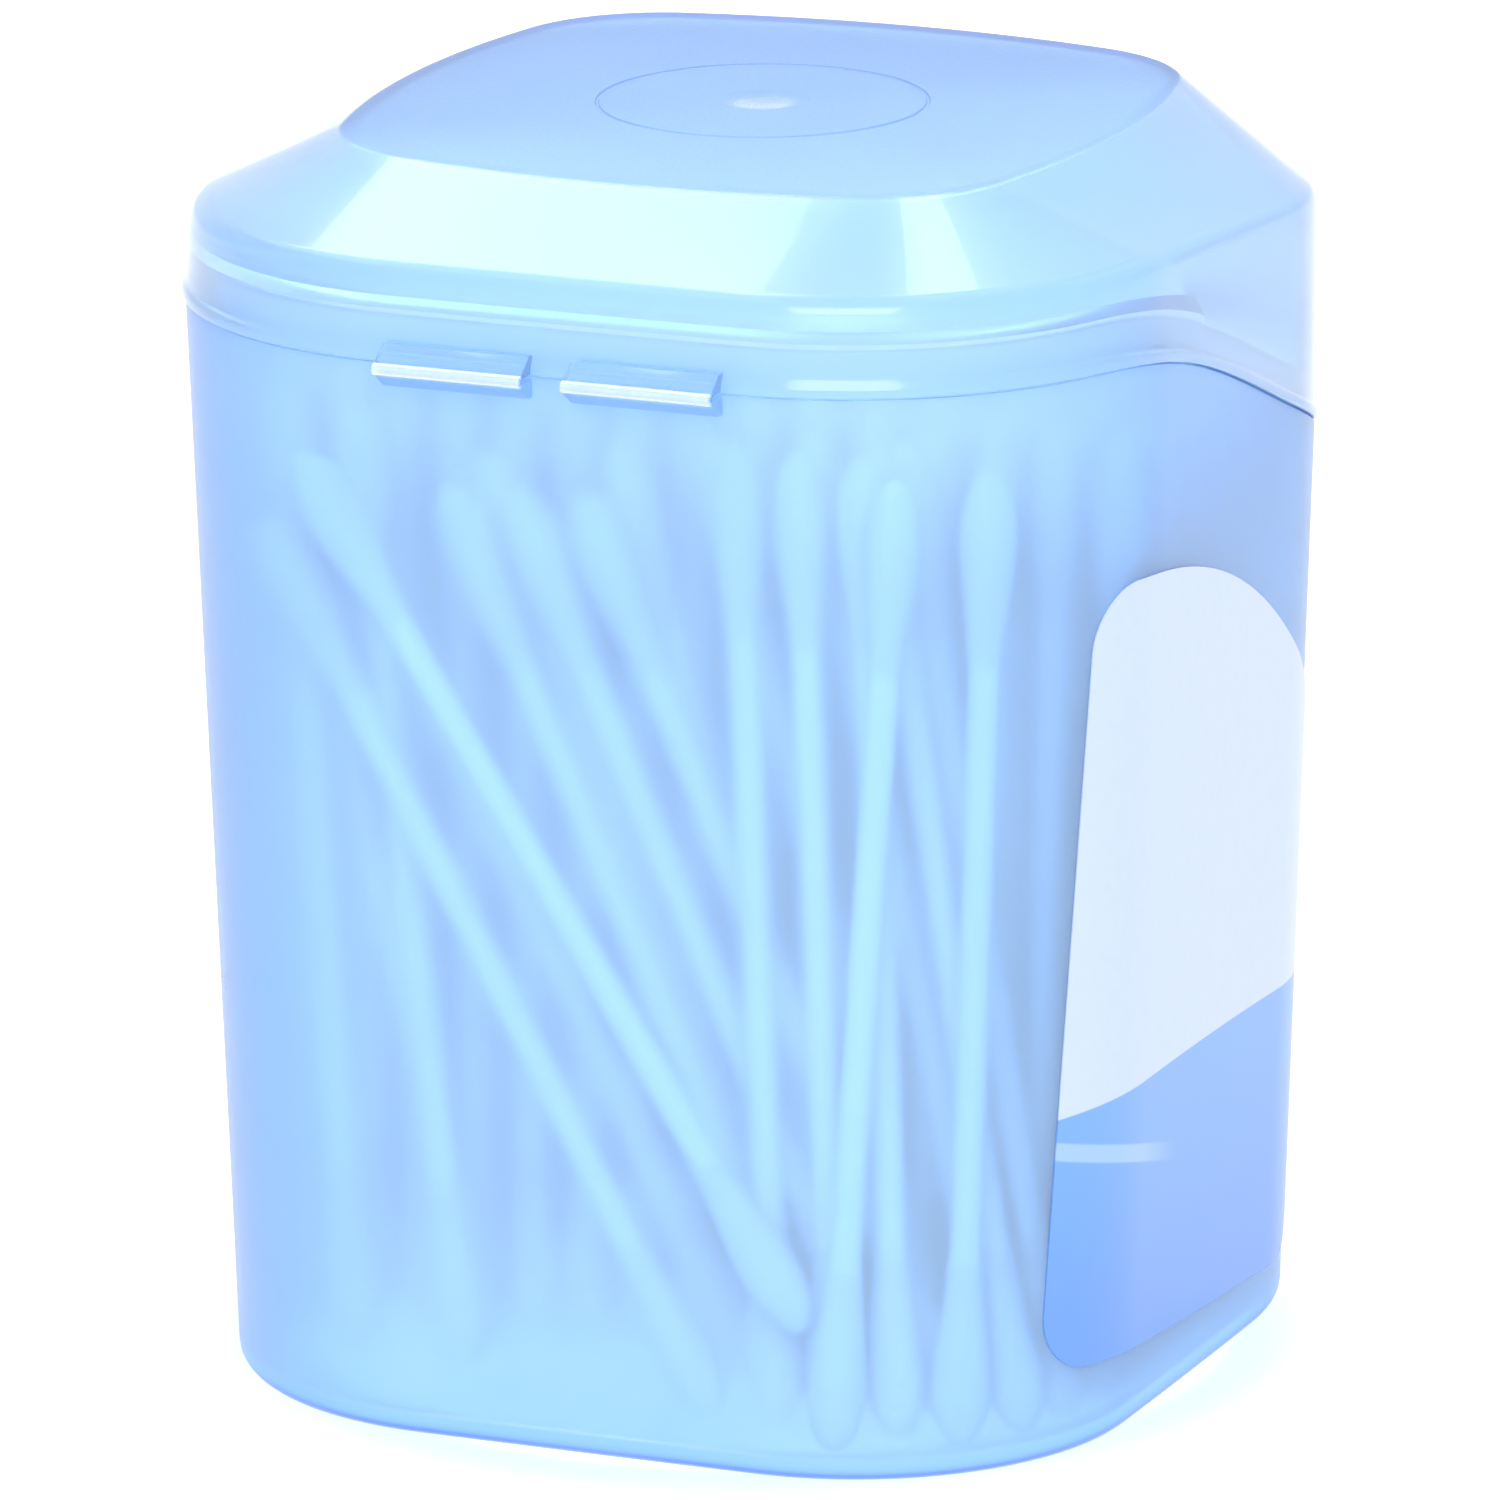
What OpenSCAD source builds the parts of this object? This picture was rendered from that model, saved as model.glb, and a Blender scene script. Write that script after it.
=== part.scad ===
// Flip-top tub of cotton swabs: a thin-walled translucent box with rounded corners,
// a lid on two living hinge straps, one printed label and 160 swabs standing inside.
// The origin is the centre of the underside, +Z is up, and the hinge is on +Y.

/* [Tub] */
// Width of the tub at its underside, over the middles of the sides
base_w = 69.5; // [62:0.5:80]
// Corner radius at the underside
corner_r = 21.5; // [16:0.5:24]
// Radius of the slight outward bow of each side
side_r = 800; // [400:50:1500]
// Draft of the walls, as outward travel per mm of height
draft = 0.035; // [0.015:0.005:0.05]
// Height of the parting line above the swabs' tips, at the hinge
part_over = 6.85; // [3:0.05:12]
// How far the parting line dips towards the opening side
dip = 16; // [6:0.5:20]
// Y where the dip starts, behind the middle of the tub
dip_from = 22.4; // [16:0.2:26]
// Length of the dip along Y
dip_len = 59; // [50:1:64]
// Wall thickness of the tub
wall = 1.6; // [1.4:0.1:2.2]
// Thickness of the floor
floor_t = 1.4; // [1:0.1:2.5]
// Outer radius where the walls meet the underside
foot_r = 2; // [1:0.25:3]
// Inner radius where the walls meet the floor
floor_r = 1; // [0.5:0.25:2]

/* [Neck] */
// Height of the thin neck that stands up inside the lid
lip = 3.3; // [2.4:0.1:5]
// Rounding of the neck's edges
lip_round = 0.2; // [0.1:0.05:0.3]
// Gap between the neck and the lid's skirt
fit_gap = 0.2; // [0.15:0.05:0.4]

/* [Lid] */
// Height of the flat top above the parting line at the hinge
lid_h = 12.1; // [10:0.1:24]
// Width of the lid's flat top
top_w = 55; // [46:0.5:60]
// Corner radius of the flat top
top_r = 11.5; // [8:0.5:16]
// Bow radius of the flat top's sides
top_side_r = 74; // [60:1:200]
// How far the flat top sits towards the opening side
top_shift = 1.2; // [0:0.1:3]
// Height of the crease between skirt and slope above the parting line
crease_up = 6.8; // [5.5:0.1:12]
// How far the crease dips towards the opening side
crease_dip = 3; // [0:0.25:6]
// Outward offset of the crease from the underside's outline
crown_off = 2.4; // [2:0.1:3]
// Thickness of the lid's top and slopes
lid_t = 1.2; // [0.8:0.1:1.6]
// Thickness of the lid's skirt at the neck
skirt_t = 0.65; // [0.5:0.05:0.8]
// How far the skirt's lower edge stands proud of the tub
bead = 0.25; // [0.1:0.05:0.5]
// Height of that proud edge
bead_h = 1; // [0.6:0.1:1.5]
// Gap between the skirt's edge and the tub's shoulder
part_gap = 0.1; // [0.05:0.05:0.3]
// Radius of the fine ring groove on the flat top
ring_r = 12.1; // [8:0.1:16]
// Reach of the rounding at the crease
crease_round = 1; // [0.5:0.1:1.5]
// Reach of the rounding at the edge of the flat top
top_round = 0.5; // [0.3:0.1:1]
// Width and depth of the ring groove
ring_w = 0.3; // [0.2:0.05:0.5]
// Radius of the moulding dimple in the middle of the top
dimple_r = 3.4; // [2:0.1:5]
// Depth of the moulding dimple
dimple_d = 0.35; // [0.2:0.05:0.6]

/* [Hinge] */
// Width of one hinge lug
lug_w = 11.4; // [9:0.2:13]
// Gap between the two lugs
lug_gap = 3.2; // [2:0.2:6]
// How far the lugs stand out from the wall
lug_out = 1.9; // [1.6:0.1:2.6]
// How deep the lugs are rooted in the wall
lug_in = 0.55; // [0.3:0.05:0.8]
// Height of a lug where it meets the wall
lug_h = 1.4; // [1.2:0.1:2]
// Distance from the wall over which a lug keeps that height
lug_flat = 0.5; // [0.2:0.1:1]
// Thickness of a lug at its outer edge
lug_tip = 0.45; // [0.4:0.05:0.6]
// Thickness of the hinge film
film_t = 0.3; // [0.2:0.05:0.4]
// Length of the film's flat ends
film_leg = 0.1; // [0.05:0.05:0.3]
// Inside radius of the folded film
film_r = 0.15; // [0.1:0.05:0.2]

/* [Label] */
// Thickness of the label
label_t = 0.12; // [0.08:0.02:0.2]
// Gap under the label
label_gap = 0.03; // [0.02:0.01:0.05]
// Distance from the side's middle to the label's edge nearest the hinge
label_back = 25.2; // [20:0.2:27]
// Distance from the side's middle to the label's other edge
label_front = 20; // [14:0.5:25]
// Height of the label's lower edge above the underside
label_z = 5.6; // [4:0.2:14]
// Distance from the parting line at the hinge down to the top of the label's arch
label_under = 17.3; // [15:0.1:30]
// Radius of the label's arched top
arch_r = 52; // [48:1:80]
// Distance of the arch's highest point from the side's middle
arch_at = 20; // [10:0.5:21]
// Radius of the label's corners
label_r = 4.5; // [2:0.25:6]
// Tilt of the label as it was stuck on, in degrees
label_tilt = 3.5; // [0:0.25:4]

/* [Swabs] */
// Length of a swab
swab_l = 73; // [64:0.5:74]
// Diameter of the paper stick
stick_d = 2.3; // [1.8:0.1:2.6]
// Length of a cotton bud
bud_l = 14; // [10:0.5:16]
// Length of the bud's rounded end
dome_l = 4.6; // [3.5:0.1:6]
// Thickness of the cotton where it runs out on the stick
bud_end = 0.15; // [0.1:0.05:0.3]
// Cotton beyond the end of the stick
tip_l = 1.6; // [1:0.1:2.5]
// Gap between the stick and the wound cotton
wind_gap = 0.02; // [0.01:0.01:0.05]
// Gap between a bud and the tub's side walls
side_gap = 0.15; // [0.05:0.05:0.5]
// Gap between the first or last row of buds and the wall
row_gap = 1.2; // [0.2:0.1:2]
// Gap between neighbouring buds in a full row
bud_gap = 0.1; // [0.05:0.05:0.3]
// How far the propped swab's foot stands above the floor
prop_h = 8.7; // [0:0.1:15]
// Gap between a bud and the floor
rest_gap = 0.05; // [0.02:0.01:0.1]

/* [Hidden] */

// Facets of the outline: steps along a side's arc and along a corner's arc
side_n = 6;
corner_n = 12;
plastic = [0.62, 0.80, 0.96];
cotton = [0.97, 0.98, 1.00];
paper = [0.88, 0.93, 0.98];

// An outline has a bowed arc on each side and a round arc at each corner, tangent to
// each other. A station is [centre x, centre y, radius, angle, quarter turns], so moving
// the outline outwards only adds to the radius.
function corner_at(half, r, bow) = let (k = bow - half)
    (sqrt(2 * (bow - r) * (bow - r) - k * k) - k) / 2;
function side_angle(half, r, bow) = let (c = corner_at(half, r, bow)) atan2(c, c + bow - half);
function outline(half, r, bow) =
    let (c = corner_at(half, r, bow), t = side_angle(half, r, bow))
    [for (q = [0:3], i = [0:side_n + corner_n - 1])
        i < side_n ? [half - bow, 0, bow, t * (2 * i / side_n - 1), q]
                   : [c, c, r, t + (90 - 2 * t) * (i - side_n) / corner_n, q]];
function turned(p, q) = let (c = cos(90 * q), s = sin(90 * q)) [p.x * c - p.y * s, p.x * s + p.y * c];
function spot(s, off) = turned([s[0] + (s[2] + off) * cos(s[3]), s[1] + (s[2] + off) * sin(s[3])], s[4]);

// The box is as tall as its swabs need
part_z = floor_t + rest_gap + swab_l + part_over;
total_h = part_z + lid_h;
label_top = part_z - label_under;

base = outline(base_w / 2, corner_r, side_r);
flat_top = outline(top_w / 2, top_r, top_side_r);
count = len(base);

// Heights of the parting line, the neck's rim and the lid's crease at each station
function ease(t) = let (u = min(1, max(0, t))) u * u * (3 - 2 * u);
fall = [for (s = base) ease((dip_from - spot(s, draft * part_z).y) / dip_len)];
edge = [for (f = fall) part_z - dip * f];
rim = [for (z = edge) z + lip];
crease = [for (f = fall) part_z + crease_up - crease_dip * f];
neck_in = skirt_t + fit_gap;

function same(v) = [for (i = [0:count - 1]) v];
function mix(a, b, t) = a * (1 - t) + b * t;
// A ring of points at the offsets and heights given for the stations
function ring(offs, zs) = [for (i = [0:count - 1]) let (p = spot(base[i], offs[i])) [p.x, p.y, zs[i]]];
// A ring on the tub's drafted wall, moved in by a distance
function wall_ring(zs, inset) = ring(draft * zs - same(inset), zs);
function top_ring(inset, z) = [for (s = flat_top) let (p = spot(s, -inset)) [p.x, p.y - top_shift, z]];

// A closed shell through rings, from its first ring's cap to its last ring's cap
module loft(rings) {
    n = len(rings[0]);
    last = (len(rings) - 1) * n;
    polyhedron(
        points = [for (r = rings) each r],
        faces = concat(
            [[for (i = [0:n - 1]) i]],
            [for (j = [0:len(rings) - 2], i = [0:n - 1])
                [j * n + i, (j + 1) * n + i, (j + 1) * n + (i + 1) % n, j * n + (i + 1) % n]],
            [[for (i = [0:n - 1]) last + n - 1 - i]]));
}

// The hinge's axis runs along X at this Y and Z, just outside the lugs
wall_y = base_w / 2 + draft * part_z;
lug_y = wall_y + lug_out;
axis_y = lug_y + film_leg;
axis_z = part_z + part_gap / 2;
lug_root = wall_y - lug_in;
lug_x = (lug_gap + lug_w) / 2;

// One lug in the YZ plane, from its root in the wall to its thin outer edge
module lug(up) {
    for (x = [-lug_x, lug_x])
        translate([x - lug_w / 2, 0, axis_z])
            mirror([0, 0, up ? 0 : 1])
                rotate([90, 0, 90])
                    linear_extrude(height = lug_w)
                        polygon([[lug_root, film_r], [lug_y, film_r], [lug_y, film_r + lug_tip],
                            [wall_y + lug_flat, film_r + lug_h], [lug_root, film_r + lug_h]]);
}

module tub() {
    color(plastic)
    union() {
        loft(concat(
            [for (a = [0:22.5:90]) let (z = foot_r * (1 - cos(a))) wall_ring(same(z), foot_r * (1 - sin(a)))],
            [for (t = [0.25:0.25:1]) wall_ring(mix(same(foot_r), edge, t), 0)],
            [wall_ring(edge, neck_in),
             wall_ring(rim - same(lip_round), neck_in),
             wall_ring(rim, neck_in + lip_round),
             wall_ring(rim, wall - lip_round),
             wall_ring(rim - same(lip_round), wall)],
            [for (t = [0.75:-0.25:0]) wall_ring(mix(same(floor_t + floor_r), rim, t), wall)],
            [for (a = [30:30:90]) wall_ring(same(floor_t + floor_r * (1 - sin(a))), wall + floor_r * (1 - cos(a)))]));
        lug(false);
    }
}

// The skirt runs from its proud lower edge up to the crease. Each rounding is a list of
// [share of its reach inwards, share of its reach up], and the inner ones reach down
edge_off = draft * edge;
crown = same(crown_off);
lid_low = edge + same(part_gap);
lid_catch = rim + same(top_round);
crease_steps = [[0, -1], [0.12, -0.42], [0.45, 0.05], [0.95, 0.4]];
top_steps = [[-1, -0.5], [0, -0.12], [1, 0]];
bead_steps = [[0.6, 0], [1, 0.15], [1, 0.7], [0.2, 1]];
inner_top = [[2, 0], [1, 0.2]];
inner_crease = [[0.5, 0.7], [0, 1.2]];
// Where the skirt has reached its full thickness, as shares of its way out and up
skirt_full = [0.6, 0.25];

module lid() {
    color(plastic)
    difference() {
        union() {
            loft(concat(
                [for (t = inner_top) top_ring(t[0] * top_round, total_h - lid_t - t[1] * top_round)],
                [for (c = inner_crease) ring(crown - same(lid_t + c[0] * crease_round), crease - same(c[1] * crease_round))],
                [ring(mix(edge_off, crown, skirt_full[0]) - same(lid_t), mix(lid_catch, crease, skirt_full[1])),
                 ring(draft * lid_catch - same(skirt_t), lid_catch),
                 ring(draft * lid_low - same(skirt_t), lid_low)],
                [for (b = bead_steps) ring(edge_off + same(b[0] * bead), lid_low + same(b[1] * bead_h))],
                [for (t = [1 / 3, 2 / 3]) ring(mix(edge_off, crown, t), mix(lid_low, crease, t))],
                [for (c = crease_steps) ring(crown - same(c[0] * crease_round), crease + same(c[1] * crease_round))],
                [for (t = top_steps) top_ring(t[0] * top_round, total_h + t[1] * top_round)]));
            lug(true);
        }
        translate([0, -top_shift, total_h])
            rotate_extrude($fn = 96)
                translate([ring_r - ring_w / 2, -ring_w / 2]) square([ring_w, ring_w]);
        dish_r = (dimple_r * dimple_r + dimple_d * dimple_d) / (2 * dimple_d);
        translate([0, -top_shift, total_h - dimple_d + dish_r]) sphere(r = dish_r, $fn = 128);
    }
}

// The film joins the outer edges of a pair of lugs and is folded over while the lid is shut
module hinge_strap(side) {
    outer = film_r + film_t;
    color(plastic)
    translate([side * lug_x - lug_w / 2, 0, axis_z])
        rotate([90, 0, 90])
            linear_extrude(height = lug_w) {
                difference() {
                    union() {
                        translate([axis_y, 0]) circle(r = outer, $fn = 48);
                        translate([lug_y, -outer]) square([film_leg, 2 * outer]);
                    }
                    translate([axis_y, 0]) circle(r = film_r, $fn = 48);
                    translate([lug_y - outer, -film_r]) square([outer + film_leg, 2 * film_r]);
                    translate([lug_y - 2 * outer, -2 * outer]) square([2 * outer, 4 * outer]);
                }
            }
}

// A point on the label's side of the tub, a distance along the outline from the side's middle
side_len = side_r * side_angle(base_w / 2, corner_r, side_r) * PI / 180;
corner_c = corner_at(base_w / 2, corner_r, side_r);
function along(s) = abs(s) <= side_len
    ? [base_w / 2 - side_r, 0, side_r, s / side_r * 180 / PI, 2]
    : let (t = side_angle(base_w / 2, corner_r, side_r) + (abs(s) - side_len) / corner_r * 180 / PI)
        s > 0 ? [corner_c, corner_c, corner_r, t, 2] : [corner_c, -corner_c, corner_r, -t, 2];
// The label's own flat outline, u along the tub and v up, before it is tilted
label_cols = 30;
label_rows = 10;
function rounding(d) = d >= label_r ? 0 : label_r - sqrt(label_r * label_r - (label_r - d) * (label_r - d));
function arch(u) = label_top - arch_r + sqrt(arch_r * arch_r - (u + arch_at) * (u + arch_at));
label_u = [for (k = [0:label_cols]) mix(-label_back, label_front, (1 - cos(180 * k / label_cols)) / 2)];
function label_ring(off) = [for (u = label_u, j = [0:label_rows])
    let (end = rounding(min(u + label_back, label_front - u)),
         v = mix(label_z + end, arch(u) - end, j / label_rows),
         s = u * cos(label_tilt) + v * sin(label_tilt),
         z = v * cos(label_tilt) - u * sin(label_tilt),
         p = spot(along(s), draft * z + off))
        [p.x, p.y, z]];

module label() {
    w = label_rows + 1;
    m = len(label_u) * w;
    rimline = concat([for (k = [0:label_cols - 1]) k * w],
        [for (j = [0:label_rows - 1]) label_cols * w + j],
        [for (k = [label_cols:-1:1]) k * w + label_rows],
        [for (j = [label_rows:-1:1]) j]);
    color([0.80, 0.89, 0.98])
    polyhedron(
        points = concat(label_ring(label_gap), label_ring(label_gap + label_t)),
        faces = concat(
            [for (k = [0:label_cols - 1], j = [0:label_rows - 1], f = [0, 1])
                f == 0 ? [k * w + j, (k + 1) * w + j, (k + 1) * w + j + 1, k * w + j + 1]
                       : [m + k * w + j, m + k * w + j + 1, m + (k + 1) * w + j + 1, m + (k + 1) * w + j]],
            [for (i = [0:len(rimline) - 1]) let (a = rimline[i], b = rimline[(i + 1) % len(rimline)])
                [a, m + a, m + b, b]]));
}

// The rows stand parallel to the hinge side, row 1 nearest the hinge. The buds are as
// thick as the fullest rows allow, and the rows are spread from wall to wall.
row_n = 14;
full_n = 15;
inside_w = base_w - 2 * (wall - draft * floor_t);
bud_d = (inside_w - 2 * side_gap - (full_n - 1) * bud_gap) / full_n;
row_pitch = (inside_w - 2 * row_gap - bud_d) / (row_n - 1);
function row_y(i) = ((row_n - 1) / 2 - i) * row_pitch;
// Half of the room that a row has for its swabs' axes, at a height
function room(i, z) = let (r = corner_r + draft * z - wall - bud_d / 2 - side_gap, far = abs(row_y(i)))
    far <= corner_c + r * sin(side_turn)
        ? base_w / 2 - side_r + sqrt(pow(r - corner_r + side_r, 2) - far * far)
        : corner_c + sqrt(max(0, r * r - pow(far - corner_c, 2)));
side_turn = side_angle(base_w / 2, corner_r, side_r);
// Height at which the upper buds begin, where the heads' places are measured
head_z = floor_t + swab_l - bud_l;

// A swab is [share of the room at its foot, share at its head, height of its foot].
// The four rows nearest the hinge lean over as swabs do where there is space left.
leaning = [
    [[-0.955, -0.98, 0], [-0.84, 0.98, prop_h]],
    [[-0.995, -0.99, 0], [-0.815, -0.65, 0], [-0.635, -0.48, 0], [-0.455, -0.31, 0], [-0.27, 0.98, 0]],
    [[-0.995, -0.56, 0], [-0.82, 0.16, 0], [-0.65, 0.33, 0], [-0.48, 0.5, 0], [0.51, 0.74, 0], [0.82, 0.91, 0]],
    [[-0.99, -0.55, 0], [-0.84, -0.33, 0], [-0.69, -0.1, 0], [-0.54, 0.13, 0], [-0.38, 0.45, 0],
     [-0.2, 0.83, 0], [0.5, 0.99, 0]]];
// The other rows stand upright and fan out evenly, with this many swabs each
upright = [15, 15, 15, 15, 15, 15, 15, 14, 12, 9];
function upright_row(n) = [for (j = [0:n - 1]) let (k = 2 * j / (n - 1) - 1) [k, k, 0]];
function row(i) = i < len(leaning) ? leaning[i] : upright_row(upright[i - len(leaning)]);

// A leaning bud touches the floor beside its tip, so it is raised by this much
function seat(lean) = sqrt(pow(dome_l * cos(lean), 2) + pow(bud_d / 2 * sin(lean), 2)) - dome_l * cos(lean);

module placed(i) {
    for (s = row(i)) {
        foot_x = s[0] * room(i, floor_t);
        lean = asin((s[1] * room(i, head_z) - foot_x) / swab_l);
        translate([foot_x, row_y(i), floor_t + rest_gap + s[2] + seat(lean)])
            rotate([0, lean, 0]) children();
    }
}

module swab_sticks(i) {
    color(paper)
    placed(i) translate([0, 0, tip_l]) cylinder(d = stick_d, h = swab_l - 2 * tip_l, $fn = 32);
}

// Cotton wound round one end of a stick: a domed tip that thins back to the stick
module bud() {
    r = bud_d / 2;
    bore = stick_d / 2 + wind_gap;
    rotate_extrude($fn = 32)
        polygon(concat(
            [for (a = [0:22.5:90]) [r * sin(a), dome_l * (1 - cos(a))]],
            [for (k = [1:5]) [mix(r, bore + bud_end, (1 - cos(36 * k)) / 2), mix(dome_l, bud_l, k / 5)]],
            [[bore, bud_l], [bore, tip_l - wind_gap], [0, tip_l - wind_gap]]));
}

module swab_feet(i) {
    color(cotton)
    placed(i) bud();
}

module swab_heads(i) {
    color(cotton)
    placed(i) translate([0, 0, swab_l]) rotate([180, 0, 0]) bud();
}

tub();
lid();
hinge_strap(1);  // hinge_strap_left
hinge_strap(-1);  // hinge_strap_right
label();
swab_sticks(0);  // swab_sticks_row_01
swab_sticks(1);  // swab_sticks_row_02
swab_sticks(2);  // swab_sticks_row_03
swab_sticks(3);  // swab_sticks_row_04
swab_sticks(4);  // swab_sticks_row_05
swab_sticks(5);  // swab_sticks_row_06
swab_sticks(6);  // swab_sticks_row_07
swab_sticks(7);  // swab_sticks_row_08
swab_sticks(8);  // swab_sticks_row_09
swab_sticks(9);  // swab_sticks_row_10
swab_sticks(10);  // swab_sticks_row_11
swab_sticks(11);  // swab_sticks_row_12
swab_sticks(12);  // swab_sticks_row_13
swab_sticks(13);  // swab_sticks_row_14
swab_feet(0);  // swab_feet_row_01
swab_feet(1);  // swab_feet_row_02
swab_feet(2);  // swab_feet_row_03
swab_feet(3);  // swab_feet_row_04
swab_feet(4);  // swab_feet_row_05
swab_feet(5);  // swab_feet_row_06
swab_feet(6);  // swab_feet_row_07
swab_feet(7);  // swab_feet_row_08
swab_feet(8);  // swab_feet_row_09
swab_feet(9);  // swab_feet_row_10
swab_feet(10);  // swab_feet_row_11
swab_feet(11);  // swab_feet_row_12
swab_feet(12);  // swab_feet_row_13
swab_feet(13);  // swab_feet_row_14
swab_heads(0);  // swab_heads_row_01
swab_heads(1);  // swab_heads_row_02
swab_heads(2);  // swab_heads_row_03
swab_heads(3);  // swab_heads_row_04
swab_heads(4);  // swab_heads_row_05
swab_heads(5);  // swab_heads_row_06
swab_heads(6);  // swab_heads_row_07
swab_heads(7);  // swab_heads_row_08
swab_heads(8);  // swab_heads_row_09
swab_heads(9);  // swab_heads_row_10
swab_heads(10);  // swab_heads_row_11
swab_heads(11);  // swab_heads_row_12
swab_heads(12);  // swab_heads_row_13
swab_heads(13);  // swab_heads_row_14
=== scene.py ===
# %% [markdown]
# # A tub of cotton swabs
# The real tub is one moulding of thin, pale blue polypropylene: a square tub with big
# round corners, a lid that flips up on two folded films, and 160 swabs standing inside.
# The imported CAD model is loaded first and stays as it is. Every piece below is built
# around it, in metres, in the same frame, so nothing needs fitting by eye.

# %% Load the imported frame
import math
import random

import bmesh
import bpy
import numpy as np
from mathutils import Matrix, Vector


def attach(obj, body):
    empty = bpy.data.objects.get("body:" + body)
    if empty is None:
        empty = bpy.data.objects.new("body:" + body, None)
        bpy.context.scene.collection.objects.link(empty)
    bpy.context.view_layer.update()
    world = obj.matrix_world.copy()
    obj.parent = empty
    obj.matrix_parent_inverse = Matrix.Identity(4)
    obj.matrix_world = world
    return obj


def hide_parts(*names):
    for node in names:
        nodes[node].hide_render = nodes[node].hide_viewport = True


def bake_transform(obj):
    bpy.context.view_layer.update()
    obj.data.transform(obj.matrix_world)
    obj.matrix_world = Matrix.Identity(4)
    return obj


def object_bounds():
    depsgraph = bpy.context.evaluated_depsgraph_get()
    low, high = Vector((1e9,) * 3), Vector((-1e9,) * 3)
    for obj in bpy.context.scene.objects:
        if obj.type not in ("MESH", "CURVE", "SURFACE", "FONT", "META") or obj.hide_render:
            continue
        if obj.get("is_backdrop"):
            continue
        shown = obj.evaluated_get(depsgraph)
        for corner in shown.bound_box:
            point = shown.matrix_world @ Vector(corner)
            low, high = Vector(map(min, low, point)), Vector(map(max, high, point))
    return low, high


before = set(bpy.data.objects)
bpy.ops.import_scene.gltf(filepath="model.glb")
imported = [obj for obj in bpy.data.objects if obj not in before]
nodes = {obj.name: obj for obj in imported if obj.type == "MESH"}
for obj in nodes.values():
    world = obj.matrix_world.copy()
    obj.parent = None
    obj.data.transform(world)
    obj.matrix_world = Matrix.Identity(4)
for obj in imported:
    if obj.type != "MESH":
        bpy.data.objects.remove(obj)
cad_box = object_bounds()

# %% [markdown]
# ## The camera
# A product photographer stands a small object on a white table and shoots it with a
# long lens from a little above. The camera could be aimed by hand until it looks
# right. Here the direction, the distance and the lens are written as numbers, and the
# camera's axes are worked out from them, so the view can be repeated exactly.

# %% Aim the camera
turn, rise, roll = (math.radians(a) for a in (202.807, 15.205, -0.328))
distance, lens_mm, sensor_mm = 1.11045, 361.33, 36
across = Vector((math.cos(turn), math.sin(turn), 0))
back = Vector((math.sin(turn) * math.cos(rise), -math.cos(turn) * math.cos(rise), math.sin(rise)))
upward = back.cross(across)
aim = across * -0.00073 + Vector((0, 0, 0.04455))

camera = bpy.data.objects.new("camera", bpy.data.cameras.new("camera"))
camera.data.lens, camera.data.sensor_width = lens_mm, sensor_mm
camera.data.clip_end = 20
picture_x = across * math.cos(roll) + upward * math.sin(roll)
picture_y = upward * math.cos(roll) - across * math.sin(roll)
camera.matrix_world = Matrix.Translation(aim + back * distance) @ Matrix(
    (picture_x, picture_y, back)).transposed().to_4x4()
bpy.context.scene.collection.objects.link(camera)
bpy.context.scene.camera = camera
print("camera at", [round(v, 4) for v in camera.matrix_world.translation])

# %% [markdown]
# ## Wires: shader maths as Python sums
# Blender's materials are graphs of nodes. Placing each Math node by hand hides the
# formula, so a wire wraps a node's output and answers to +, - and *: a sum on wires
# adds the nodes for it. A colour or a vector goes through Vector Math, since a Math
# node would turn it grey. Every other node comes from one method, `Finish.node`.

# %% A wire and a finish
class Wire:
    """The output of a shader node, which can be used in sums."""

    def __init__(self, socket):
        self.socket = socket

    def out(self, name):
        return Wire(self.socket.node.outputs[name])

    def sum(self, operation, *values):
        many = any(isinstance(v, Wire) and v.socket.type != "VALUE" for v in values)
        kind = "ShaderNodeVectorMath" if many else "ShaderNodeMath"
        node = self.socket.id_data.nodes.new(kind)
        node.operation = operation
        for place, value in zip(node.inputs, values):
            plug(place, value)
        return Wire(node.outputs[0])

    def __add__(self, other): return self.sum("ADD", self, other)
    def __radd__(self, other): return self.sum("ADD", other, self)
    def __sub__(self, other): return self.sum("SUBTRACT", self, other)
    def __rsub__(self, other): return self.sum("SUBTRACT", other, self)
    def __mul__(self, other): return self.sum("MULTIPLY", self, other)
    def __rmul__(self, other): return self.sum("MULTIPLY", other, self)


def plug(place, value):
    """Links a wire to an input, or sets the input's own value."""
    if isinstance(value, Wire):
        place.id_data.links.new(value.socket, place)
    elif place.type == "RGBA":
        place.default_value = (*value, 1)[:4]
    elif place.type == "VECTOR" and not hasattr(value, "__len__"):
        place.default_value = (value, value, value)
    else:
        place.default_value = value


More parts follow.
